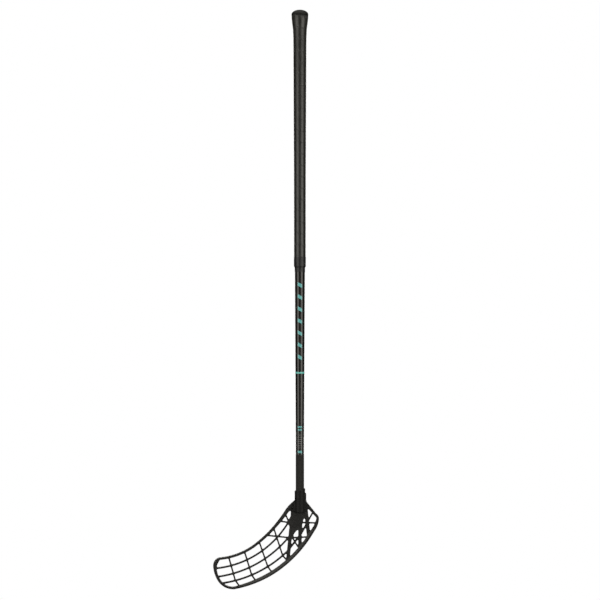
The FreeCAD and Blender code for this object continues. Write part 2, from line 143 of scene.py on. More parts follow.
class Graph:
    """A node tree that is filled through one method."""

    # Sockets of a Mix node for colours: its inputs and its result
    mix_share, mix_low, mix_high, mix_colour = 0, 6, 7, 2

    def __init__(self, tree: bpy.types.NodeTree) -> None:
        """Takes a tree and empties it."""
        self.tree = tree
        tree.nodes.clear()

    def feed(self, socket: bpy.types.NodeSocket, value: Value) -> None:
        """Links a wire to a socket, or sets the socket's own value.

        Args:
            socket: the input to fill.
            value: a wire, number, word, vector, colour or data block.
        """
        if isinstance(value, Wire):
            self.tree.links.new(value.socket, socket)
        elif socket.type == "RGBA" and len(value) == len(WHITE):
            socket.default_value = (*value, 1.0)
        else:
            socket.default_value = value

    def node(
        self,
        kind: str,
        settings: dict[str, Any] | None = None,
        inputs: dict[Union[int, str], Value] | None = None,
        output: Union[int, str] = 0,
    ) -> Wire:
        """Adds a node.

        Args:
            kind: the node's type.
            settings: its properties, set first.
            inputs: values or wires for its sockets, by name or number.
            output: the socket that is handed back.

        Returns:
            The chosen output.
        """
        made = self.tree.nodes.new(kind)
        for name, value in (settings or {}).items():
            setattr(made, name, value)
        for key, value in (inputs or {}).items():
            self.feed(made.inputs[key], value)
        return Wire(self, made.outputs[output]) if made.outputs else Wire(self, made.inputs[0])

    def math(self, operation: str, *values: Value) -> Wire:
        """Adds a Math node.

        Args:
            operation: its operation.
            values: its inputs in order.

        Returns:
            The result.
        """
        return self.node("ShaderNodeMath", {"operation": operation}, dict(enumerate(values)))

    def mix(self, share: Value, low: Value, high: Value) -> Wire:
        """Blends two colours.

        Args:
            share: 0 for the first colour, 1 for the second.
            low: first colour.
            high: second colour.

        Returns:
            The blend.
        """
        inputs = {self.mix_share: share, self.mix_low: low, self.mix_high: high}
        return self.node("ShaderNodeMix", {"data_type": "RGBA"}, inputs, self.mix_colour)

    def place(self) -> Wire:
        """The object's own coordinates, for a material."""
        return self.node("ShaderNodeTexCoord", None, None, "Object")

    def mark(self, name: str) -> Wire:
        """A number that the mesh carries under a name, for a material."""
        return self.node("ShaderNodeAttribute", {"attribute_name": name}, None, "Fac")

    def position(self) -> tuple[Wire, Wire, Wire]:
        """The place of each point along the three axes, for a shape."""
        return self.split(self.node("GeometryNodeInputPosition"))

    def split(self, vector: Wire) -> tuple[Wire, Wire, Wire]:
        """Parts of a vector.

        Args:
            vector: the vector.

        Returns:
            Its parts along X, Y and Z.
        """
        parts = self.node("ShaderNodeSeparateXYZ", None, {0: vector}).socket.node
        return tuple(Wire(self, parts.outputs[axis]) for axis in "XYZ")

    def join(self, **parts: Value) -> Wire:
        """Vector from its parts X, Y and Z, each 0 where it isn't given."""
        return self.node("ShaderNodeCombineXYZ", None, parts)

    def shape_of(self, thing: Wire) -> Wire:
        """Geometry of another object."""
        return self.node("GeometryNodeObjectInfo", None, {"Object": thing}, "Geometry")

    def between(self, value: Wire, low: float, high: float) -> Wire:
        """1 where a value lies between two others, else 0."""
        return (value > low) * (value < high)

    def fade(self, value: Wire, low: Value, high: Value, even: bool = False) -> Wire:
        """Rise from 0 to 1.

        Args:
            value: what is tested.
            low: where the rise begins.
            high: where the rise ends.
            even: whether it rises in a straight line, and not softly.

        Returns:
            0 before low, 1 after high.
        """
        settings = {"interpolation_type": "LINEAR" if even else "SMOOTHSTEP"}
        inputs = {"Value": value, "From Min": low, "From Max": high}
        return self.node("ShaderNodeMapRange", settings, inputs)

    def noise(self, place: Wire, cloud: Cloud) -> Wire:
        """Cloudy pattern.

        Args:
            place: coordinates.
            cloud: size and detail of the pattern.

        Returns:
            Values around 0.5.
        """
        inputs = {"Vector": place, "Scale": 1 / cloud.size, "Detail": cloud.detail}
        return self.node("ShaderNodeTexNoise", None, inputs)

    def swing(self, pattern: Wire, size: float) -> Wire:
        """Swing of a cloudy pattern about its mean, to a given size."""
        return (pattern - HALF) * size

    def bump(self, height: Wire, depth: float, under: Wire | None = None) -> Wire:
        """Relief of a surface.

        Args:
            height: relief from 0 to 1.
            depth: how deep the relief is, in metres.
            under: normal of a coarser relief below it.

        Returns:
            The surface's normal.
        """
        inputs: dict[Union[int, str], Value] = {"Height": height, "Distance": depth}
        if under is not None:
            inputs["Normal"] = under
        return self.node("ShaderNodeBump", None, inputs)


@dataclass(frozen=True)
class Finish:
    """A finish: its name and, in each kind, what it puts on the shader."""

    name: str

    def surface(self, graph: Graph) -> dict[str, Value]:
        """Inputs of the shader.

        Args:
            graph: the material's graph.

        Returns:
            Values or wires by socket name.
        """
        raise NotImplementedError

    def material(self) -> bpy.types.Material:
        """Makes the material.

        Returns:
            A material with this finish.
        """
        made = bpy.data.materials.new(self.name)
        made.use_nodes = True
        graph = Graph(made.node_tree)
        shader = graph.node("ShaderNodeBsdfPrincipled", None, self.surface(graph))
        graph.node("ShaderNodeOutputMaterial", None, {"Surface": shader})
        return made


@dataclass(frozen=True)
class ShaftLacquer(Finish):
    """Black woven composite under clear lacquer, matt at the foot, with plain printed bars."""

    ground: Rgb = (0.0085, 0.0085, 0.0072)
    # Lit colour in the middle of each tow, for the painted shade of the weave over the ground
    # colour
    tow: Rgb = (0.016, 0.0155, 0.0135)
    matt: Rgb = (0.0325, 0.0321, 0.0304)
    radius: float = 9.2 * MM
    tow_width: float = 2.4 * MM
    twill_tows: float = 4.0
    # Strength of the painted shade on tows that run round and on tows that run down
    round_shade: float = 2.0
    down_shade: float = 0.8
    matt_top: float = -633 * MM
    matt_fade: float = 1.0 * MM
    teal: Rgb = (0.17, 0.60, 0.60)
    teal_cover: float = 0.92
    row_top: float = -290 * MM
    row_low: float = -446 * MM
    row_pitch: float = 24 * MM
    row_share: float = 0.30
    row_slope: float = 0.55
    row_half: float = 4.3 * MM
    band_half: float = 4.8 * MM
    teal_bands: Points = (
        (-578.4 * MM, -575.2 * MM), (-584.0 * MM, -580.8 * MM), (-628.8 * MM, -624.2 * MM),
    )
    grey: Rgb = (0.30, 0.31, 0.31)
    grey_cover: float = 0.52
    grey_top: float = -589 * MM
    grey_low: float = -619 * MM
    grey_pitch: float = 4.3 * MM
    grey_share: float = 0.32
    cloud: Cloud = Cloud(6 * MM, 3.0)
    grain: Cloud = Cloud(0.35 * MM)
    grain_depth: float = 0.012 * MM
    roughness: float = 0.74
    gloss: float = 0.38
    cloud_roughness: float = 0.10
    weave_gloss: float = 0.06
    specular: float = 0.2
    coat_roughness: float = 0.13

    def weave(self, graph: Graph, around: Wire, height: Wire) -> Wire:
        """Twill of the composite, with painted shade: each tow lighter in its middle than at its
        edges, and those that run round lighter than those that run down.

        Args:
            graph: the material's graph.
            around: way round the shaft from its front.
            height: height on the axis.

        Returns:
            0 at the edges of a tow, and at its middle 1 if it runs round or less if it runs down.
        """
        column = around / self.tow_width
        row = height / self.tow_width
        diagonal = graph.math("FLOOR", column) + graph.math("FLOOR", row)
        over = graph.math("FRACT", diagonal / self.twill_tows) < HALF
        round_tow = graph.math("PINGPONG", row, HALF)
        down_tow = graph.math("PINGPONG", column, HALF)
        return over * round_tow * self.round_shade + (1.0 - over) * down_tow * self.down_shade

    def bars(self, graph: Graph, around: Wire, height: Wire) -> tuple[Wire, Wire]:
        """Plain printed bars on the front of the shaft.

        Args:
            graph: the material's graph.
            around: way round the shaft from its front.
            height: height on the axis.

        Returns:
            Masks of the teal bars and of the grey bars.
        """
        sideways = graph.math("ABSOLUTE", around)
        slanted = height + around * self.row_slope
        beat = graph.math("FRACT", (self.row_top - slanted) / self.row_pitch)
        row = (beat < self.row_share) * graph.between(slanted, self.row_low, self.row_top)
        teal = row * (sideways < self.row_half)
        for low, high in self.teal_bands:
            teal = teal + graph.between(height, low, high) * (sideways < self.band_half)
        lines = graph.math("FRACT", height / self.grey_pitch) < self.grey_share
        grey = lines * graph.between(height, self.grey_low, self.grey_top)
        return teal, grey * (sideways < self.band_half)

    def surface(self, graph: Graph) -> dict[str, Value]:
        """Weave with painted shade on its tows, bars, and lacquer that ends above the foot.

        Args:
            graph: the material's graph.

        Returns:
            Values or wires by socket name.
        """
        place = graph.place()
        across, depth, height = graph.split(place)
        around = graph.math("ARCTAN2", across, depth * -1.0) * self.radius
        weave = self.weave(graph, around, height)
        glossy = graph.fade(height, self.matt_top, self.matt_top + self.matt_fade)
        # Painted shade of the weave: ground colour at the tows' edges, lit colour in their middles
        cloth = graph.mix(weave, self.ground, self.tow)
        colour = graph.mix(glossy, self.matt, cloth)
        teal, grey = self.bars(graph, around, height)
        colour = graph.mix(grey * self.grey_cover, colour, self.grey)
        cloud = graph.noise(place, self.cloud)
        grain = graph.noise(place, self.grain)
        rough = self.roughness - glossy * self.gloss + graph.swing(cloud, self.cloud_roughness)
        return {
            "Base Color": graph.mix(teal * self.teal_cover, colour, self.teal),
            "Roughness": rough - weave * glossy * self.weave_gloss,
            "Specular IOR Level": self.specular,
            "Coat Weight": glossy,
            "Coat Roughness": self.coat_roughness,
            "Normal": graph.bump(grain, self.grain_depth),
        }


@dataclass(frozen=True)
class GripSkin(Finish):
    """Tacky cushioned strip: olive grey, leathery, dark in the seams."""

    ground: Rgb = (0.023, 0.0228, 0.0208)
    worn: Rgb = (0.031, 0.0308, 0.0286)
    seam: Rgb = (0.014, 0.014, 0.013)
    edge_fade: Span = (0.95, 1.0)
    edge_cover: float = 0.6
    edge_roughness: float = 0.10
    patch: Cloud = Cloud(14 * MM, 4.0)
    patch_fade: Span = (0.35, 0.72)
    patch_roughness: float = 0.16
    pebble_size: float = 0.75 * MM
    pebble_softness: float = 0.6
    pebble_depth: float = 0.025 * MM
    crease: Cloud = Cloud(5 * MM, 5.0)
    crease_depth: float = 0.06 * MM
    roughness: float = 0.31
    specular: float = 0.66

    def surface(self, graph: Graph) -> dict[str, Value]:
        """Leathery grain, handling marks and seams.

        Args:
            graph: the material's graph.

        Returns:
            Values or wires by socket name.
        """
        place = graph.place()
        edge = graph.fade(graph.math("ABSOLUTE", graph.mark(STRIP_MARK)), *self.edge_fade)
        patch = graph.noise(place, self.patch)
        colour = graph.mix(graph.fade(patch, *self.patch_fade), self.ground, self.worn)
        pebble = graph.node(
            "ShaderNodeTexVoronoi",
            {"feature": "SMOOTH_F1"},
            {"Vector": place, "Scale": 1 / self.pebble_size, "Smoothness": self.pebble_softness},
        )
        crease = graph.bump(graph.noise(place, self.crease), self.crease_depth)
        rough = self.roughness + graph.swing(patch, self.patch_roughness)
        return {
            "Base Color": graph.mix(edge * self.edge_cover, colour, self.seam),
            "Roughness": rough + edge * self.edge_roughness,
            "Specular IOR Level": self.specular,
            "Normal": graph.bump(pebble, self.pebble_depth, crease),
        }


@dataclass(frozen=True)
class CapRubber(Finish):
    """Satin rubber of the end cap."""

    ground: Rgb = (0.0085, 0.0085, 0.0081)
    scuffed: Rgb = (0.016, 0.016, 0.0153)
    scuff: Cloud = Cloud(3.5 * MM, 5.0)
    scuff_fade: Span = (0.52, 0.70)
    scuff_cover: float = 0.6
    scuff_roughness: float = 0.14
    grain: Cloud = Cloud(0.28 * MM, 3.0)
    grain_depth: float = 0.04 * MM
    grain_roughness: float = 0.10
    roughness: float = 0.60
    specular: float = 0.2

    def surface(self, graph: Graph) -> dict[str, Value]:
        """Fine spark grain and light scuffs.

        Args:
            graph: the material's graph.

        Returns:
            Values or wires by socket name.
        """
        place = graph.place()
        scuff = graph.fade(graph.noise(place, self.scuff), *self.scuff_fade)
        grain = graph.noise(place, self.grain)
        rough = self.roughness + scuff * self.scuff_roughness
        return {
            "Base Color": graph.mix(scuff * self.scuff_cover, self.ground, self.scuffed),
            "Roughness": rough + graph.swing(grain, self.grain_roughness),
            "Specular IOR Level": self.specular,
            "Normal": graph.bump(grain, self.grain_depth),
        }


@dataclass(frozen=True)
class TapeFilm(Finish):
    """Stretched finishing tape."""

    ground: Rgb = (0.016, 0.0157, 0.0168)
    pale: Rgb = (0.023, 0.0225, 0.0240)
    cloud: Cloud = Cloud(4 * MM, 3.0)
    cloud_fade: Span = (0.4, 0.65)
    cloud_roughness: float = 0.25
    line_pitch: float = 0.42 * MM
    line_sway: float = 6.0
    line_depth: float = 0.02 * MM
    roughness: float = 0.37

    def surface(self, graph: Graph) -> dict[str, Value]:
        """Fine stretch lines round the shaft and cloudy gloss.

        Args:
            graph: the material's graph.

        Returns:
            Values or wires by socket name.
        """
        place = graph.place()
        _, _, height = graph.split(place)
        cloud = graph.noise(place, self.cloud)
        phase = height * (math.tau / self.line_pitch) + cloud * self.line_sway
        lines = graph.math("SINE", phase) * HALF + HALF
        return {
            "Base Color": graph.mix(graph.fade(cloud, *self.cloud_fade), self.ground, self.pale),
            "Roughness": self.roughness + graph.swing(cloud, self.cloud_roughness),
            "Normal": graph.bump(lines, self.line_depth),
        }


@dataclass(frozen=True)
class FoilRing(Finish):
    """Teal foil."""

    ground: Rgb = (0.14, 0.64, 0.57)
    bright: Rgb = (0.20, 0.77, 0.70)
    cloud: Cloud = Cloud(1.6 * MM, 3.0)
    cloud_coat: float = 0.4
    grain: Cloud = Cloud(0.2 * MM)
    grain_depth: float = 0.008 * MM
    grain_roughness: float = 0.12
    roughness: float = 0.34
    coat: float = 0.6
    coat_roughness: float = 0.13

    def surface(self, graph: Graph) -> dict[str, Value]:
        """Cloudy colour and gloss, and fine grain.

        Args:
            graph: the material's graph.

        Returns:
            Values or wires by socket name.
        """
        place = graph.place()
        cloud = graph.noise(place, self.cloud)
        grain = graph.noise(place, self.grain)
        return {
            "Base Color": graph.mix(cloud, self.ground, self.bright),
            "Roughness": self.roughness + graph.swing(grain, self.grain_roughness),
            "Coat Weight": self.coat + graph.swing(cloud, self.cloud_coat),
            "Coat Roughness": self.coat_roughness,
            "Normal": graph.bump(grain, self.grain_depth),
        }


@dataclass(frozen=True)
class BladePlastic(Finish):
    """Black moulded plastic with spark grain."""

    ground: Rgb = (0.0185, 0.0185, 0.0180)
    dusty: Rgb = (0.0280, 0.0280, 0.0272)
    # Colour of the darker hosel, and of the painted shade over the gusset beside it
    dark: Rgb = (0.0070, 0.0070, 0.0066)
    # Painted highlight: pale colour on the ledge of the lower rim, standing in for light from above
    ledge: Rgb = (0.078, 0.078, 0.076)
    hosel_foot: float = -748 * MM
    hosel_radius: float = 10.7 * MM
    hosel_fade: float = 0.8 * MM
    # Reach and strength of the painted shade over the gusset
    gusset_radius: float = 34 * MM
    gusset_share: float = 0.9
    flow: Cloud = Cloud(9 * MM, 4.0)
    flow_fade: Span = (0.38, 0.68)
    flow_roughness: float = 0.16
    grain: Cloud = Cloud(0.4 * MM, 3.0)
    grain_depth: float = 0.05 * MM
    grain_roughness: float = 0.12
    roughness: float = 0.58
    specular: float = 0.3

    def shaded(self, graph: Graph, place: Wire) -> Wire:
        """Mask of the hosel, which is darker than the rest, and of painted shade that fades out
        across the recessed gusset beside it.

        Args:
            graph: the material's graph.
            place: coordinates.

        Returns:
            1 on the hosel, less with distance on the gusset, 0 below the hosel's foot.
        """
        across, depth, height = graph.split(place)
        reach = graph.math("SQRT", across * across + depth * depth)
        hosel = 1.0 - graph.fade(reach, self.hosel_radius, self.hosel_radius + self.hosel_fade)
        # Painted shade over the recessed gusset, fading with distance from the hosel
        gusset = 1.0 - graph.fade(reach, self.hosel_radius, self.gusset_radius)
        above = graph.fade(height, self.hosel_foot, self.hosel_foot + self.hosel_fade)
        return graph.math("MAXIMUM", hosel, gusset * self.gusset_share) * above

    def surface(self, graph: Graph) -> dict[str, Value]:
        """Spark grain, faint flow marks, a little dust, a dark hosel with painted shade across the
        gusset, and a painted highlight on the ledge.

        Args:
            graph: the material's graph.

        Returns:
            Values or wires by socket name.
        """
        place = graph.place()
        flow = graph.noise(place, self.flow)
        grain = graph.noise(place, self.grain)
        colour = graph.mix(graph.fade(flow, *self.flow_fade), self.ground, self.dusty)
        # Painted highlight on the ledge of the lower rim, where light from above falls
        colour = graph.mix(graph.mark(LEDGE_HIGHLIGHT_MARK), colour, self.ledge)
        rough = self.roughness + graph.swing(flow, self.flow_roughness)
        return {
            # Darker hosel, and painted shade over the gusset
            "Base Color": graph.mix(self.shaded(graph, place), colour, self.dark),
            "Roughness": rough + graph.swing(grain, self.grain_roughness),
            "Specular IOR Level": self.specular,
            "Normal": graph.bump(grain, self.grain_depth),
        }


@dataclass(frozen=True)
class ScrewSteel(Finish):
    """Dark steel, rubbed bright in spots by the driver."""

    ground: Rgb = (0.055, 0.055, 0.058)
    rubbed: Rgb = (0.26, 0.26, 0.265)
    rub: Cloud = Cloud(0.9 * MM, 4.0)
    rub_fade: Span = (0.50, 0.66)
    rub_metal: float = 0.15
    grain: Cloud = Cloud(0.12 * MM)
    grain_depth: float = 0.01 * MM
    grain_roughness: float = 0.2
    metal: float = 0.85
    roughness: float = 0.34

    def surface(self, graph: Graph) -> dict[str, Value]:
        """Blackened steel with rubbed spots.

        Args:
            graph: the material's graph.

        Returns:
            Values or wires by socket name.
        """
        place = graph.place()
        rub = graph.fade(graph.noise(place, self.rub), *self.rub_fade)
        grain = graph.noise(place, self.grain)
        return {
            "Base Color": graph.mix(rub, self.ground, self.rubbed),
            "Metallic": self.metal + rub * self.rub_metal,
            "Roughness": self.roughness + graph.swing(grain, self.grain_roughness),
            "Normal": graph.bump(grain, self.grain_depth),
        }


@dataclass(frozen=True)
class SleeveFoam(Finish):
    """Closed foam under the grip."""

    ground: Rgb = (0.020, 0.020, 0.020)
    cell: Rgb = (0.045, 0.045, 0.045)
    cell_size: float = 0.6 * MM
    cell_depth: float = 0.1 * MM
    cell_roughness: float = 0.15
    roughness: float = 0.75

    def surface(self, graph: Graph) -> dict[str, Value]:
        """Fine cells.

        Args:
            graph: the material's graph.

        Returns:
            Values or wires by socket name.
        """
        inputs = {"Vector": graph.place(), "Scale": 1 / self.cell_size}
        cells = graph.node("ShaderNodeTexVoronoi", None, inputs)
        return {
            "Base Color": graph.mix(cells, self.ground, self.cell),
            "Roughness": self.roughness + cells * self.cell_roughness,
            "Normal": graph.bump(cells, self.cell_depth),
        }


@dataclass(frozen=True)
class FloorWhite(Finish):
    """White floor that glows by itself, so that nothing greys it."""

    glow: float = 1.0

    def surface(self, graph: Graph) -> dict[str, Value]:
        """Even white light and no shine.

        Args:
            graph: the material's graph.

        Returns:
            Values by socket name.
        """
        return {
            "Base Color": BLACK,
            "Roughness": 1.0,
            "Specular IOR Level": 0.0,
            "Emission Color": WHITE,
            "Emission Strength": self.glow,
        }


def new_object(name: str, mesh: bpy.types.Mesh) -> bpy.types.Object:
    """Puts a mesh into the scene.

    Args:
        name: name of the piece.
        mesh: its mesh, in the frame.

    Returns:
        The object, at the origin.
    """
    made = bpy.data.objects.new(name, mesh)
    bpy.context.scene.collection.objects.link(made)
    return made


def smooth_faces(mesh: bpy.types.Mesh) -> None:
    """Shades a mesh smooth."""
    mesh.polygons.foreach_set("use_smooth", [True] * len(mesh.polygons))
    mesh.update()


def mesh_from(work: bmesh.types.BMesh, name: str) -> bpy.types.Mesh:
    """Turns a working mesh into a plain one.

    Args:
        work: the working mesh, which is freed.
        name: name of the plain mesh.

    Returns:
        The plain mesh.
    """
    mesh = bpy.data.meshes.new(name)
    work.to_mesh(mesh)
    work.free()
    return mesh


def lathe(name: str, profile: Profile, sides: int, shape: Relief | None = None) -> bpy.types.Mesh:
    """Turns a profile about the shaft's axis.

    Args:
        name: name of the mesh.
        profile: radius and height of each point; it is closed, or starts and ends on the axis.
        sides: sides of a turn.
        shape: new radius from an angle, a radius and a height, or None for a plain turn.

    Returns:
        A closed mesh whose faces point outwards.
    """
    work = bmesh.new()
    rings: list[list[bmesh.types.BMVert]] = []
    for radius, height in profile:
        if radius == 0:
            rings.append([work.verts.new((0, 0, height))])
            continue
        ring = []
        for side in range(sides):
            angle = math.tau * side / sides
            reach = shape(angle, radius, height) if shape else radius
            ring.append(work.verts.new((reach * math.cos(angle), reach * math.sin(angle), height)))
        rings.append(ring)
    closed = len(rings[0]) > 1
    pairs = list(zip(rings, rings[1:])) + ([(rings[-1], rings[0])] if closed else [])
    for first, second in pairs:
        for side in range(sides):
            ahead = (side + 1) % sides
            corners = [first[side % len(first)], first[ahead % len(first)]]
            corners += [second[ahead % len(second)], second[side % len(second)]]
            work.faces.new(list(dict.fromkeys(corners)))
    bmesh.ops.recalc_face_normals(work, faces=work.faces)
    mesh = mesh_from(work, name)
    smooth_faces(mesh)
    return mesh


def curve_through(points: Profile, steps: int) -> Profile:
    """Smooth line through points, a cubic between each two neighbours.

    Args:
        points: points to pass through.
        steps: steps between neighbours.

    Returns:
        Points along the line.
    """
    ends = [points[0], *points, points[-1]]
    line = []
    for before, start, end, after in zip(ends, ends[1:], ends[2:], ends[3:]):
        for step in range(steps):
            share = step / steps
            line.append(tuple(
                0.5 * (2 * b + (c - a) * share + (2 * a - 5 * b + 4 * c - d) * share ** 2
                       + (3 * b - a - 3 * c + d) * share ** 3)
                for a, b, c, d in zip(before, start, end, after)
            ))
    return [*line, points[-1]]


class NodeShape:
    """A Geometry Nodes tree with named inputs that shapes one object."""

    def __init__(self, name: str, sizes: dict[str, Any]) -> None:
        """Makes the tree and its inputs.

        Args:
            name: name of the tree.
            sizes: name and value of each input.
        """
        self.tree = bpy.data.node_groups.new(name, "GeometryNodeTree")
        self.graph = Graph(self.tree)
        face = self.tree.interface
        face.new_socket("Geometry", in_out="INPUT", socket_type="NodeSocketGeometry")
        face.new_socket("Geometry", in_out="OUTPUT", socket_type="NodeSocketGeometry")
        self.values: dict[str, Any] = {}
        for key, value in sizes.items():
            kind = {int: "Int", float: "Float"}.get(type(value), type(value).__name__)
            socket = face.new_socket(key, in_out="INPUT", socket_type=f"NodeSocket{kind}")
            self.values[socket.identifier] = value
        entry = self.tree.nodes.new("NodeGroupInput")
        self.inputs = {
            socket.name: Wire(self.graph, socket) for socket in entry.outputs if socket.name
        }

    def close(self, shape: Wire, material: bpy.types.Material) -> None:
        """Ends the tree in plain geometry with a material.

        Args:
            shape: the finished geometry.
            material: its finish.
        """
        real = self.graph.node("GeometryNodeRealizeInstances", None, {0: shape})
        inputs = {"Geometry": real, "Material": material}
        dressed = self.graph.node("GeometryNodeSetMaterial", None, inputs)
        self.graph.node("NodeGroupOutput", None, {0: dressed})

    def mesh_of(self, piece: bpy.types.Object) -> bpy.types.Mesh:
        """Shapes an object.

        Args:
            piece: the object whose mesh goes in.

        Returns:
            The result as a plain mesh.
        """
        modifier = piece.modifiers.new(self.tree.name, "NODES")
        modifier.node_group = self.tree
        for identifier, value in self.values.items():
            modifier[identifier] = value
        graph = bpy.context.evaluated_depsgraph_get()
        return bpy.data.meshes.new_from_object(piece.evaluated_get(graph), depsgraph=graph)


def dress(node: str, finish: Finish) -> None:
    """Gives a CAD node a finish.

    Args:
        node: name of the node.
        finish: its finish.
    """
    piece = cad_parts[node]
    piece.data.materials.clear()
    piece.data.materials.append(finish.material())
    LOG.info("%s keeps its shape and is finished in %s", node, finish.name)


def settle(piece: bpy.types.Object, node: str) -> None:
    """Hands a finished piece to the frame in place of a CAD node.

    Args:
        piece: the piece.
        node: the CAD node that it stands for.
    """
    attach(piece, STICK_BODY)
    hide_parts(node)
    LOG.info("%s stands for %s with %d faces", piece.name, node, len(piece.data.polygons))


@dataclass
class Shaft:
    """Bare shaft with its foil ring."""

    lacquer: ShaftLacquer = ShaftLacquer("shaft_lacquer")
    foil: FoilRing = FoilRing("foil_ring")

    def build(self) -> None:
        """Finishes the tube and the ring."""
        dress("shaft_tube", self.lacquer)
        dress("stripe_ring", self.foil)


@dataclass
class EndCap:
    """Domed cap on the butt and the foam sleeve below it."""

    rubber: CapRubber = CapRubber("cap_rubber")
    foam: SleeveFoam = SleeveFoam("sleeve_foam")
    crown: float = 256.2 * MM
    seat: float = 245.4 * MM
    radius: float = 16.8 * MM
    stem_radius: float = 10.05 * MM
    stem_end: float = 213.4 * MM
    stem_chamfer: float = 1.5 * MM
    lip: float = 0.5 * MM
    lip_share: float = 0.3
    dome_shares: Points = (
        (0.14, 0.0), (0.30, 0.002), (0.45, 0.038), (0.60, 0.117), (0.74, 0.228),
        (0.86, 0.370), (0.94, 0.512), (0.985, 0.665), (1.0, 0.82),
    )
    sides: int = 112
    steps: int = 4

    def profile(self) -> Profile:
        """Line of the cap from the crown down to the end of its stem.

        Returns:
            Radius and height of each point.
        """
        tall = self.crown - self.seat
        corner = self.lip * self.lip_share
        dome = [(self.radius * r, self.crown - tall * drop) for r, drop in self.dome_shares]
        line = [(0.0, self.crown), *curve_through(dome, self.steps)]
        rim = [
            (self.radius, self.seat + self.lip),
            (self.radius - corner, self.seat + corner),
            (self.radius - self.lip, self.seat),
        ]
        stem = [
            (self.stem_radius, self.seat),
            (self.stem_radius, self.stem_end + self.stem_chamfer),
            (self.stem_radius - self.stem_chamfer, self.stem_end),
            (0.0, self.stem_end),
        ]
        return line + rim + stem

    def build(self) -> None:
        """Makes the cap and finishes the sleeve."""
        cap = new_object("butt_cap", lathe("butt_cap", self.profile(), self.sides))
        cap.data.materials.append(self.rubber.material())
        settle(cap, "end_cap")
        dress("knob_sleeve", self.foam)


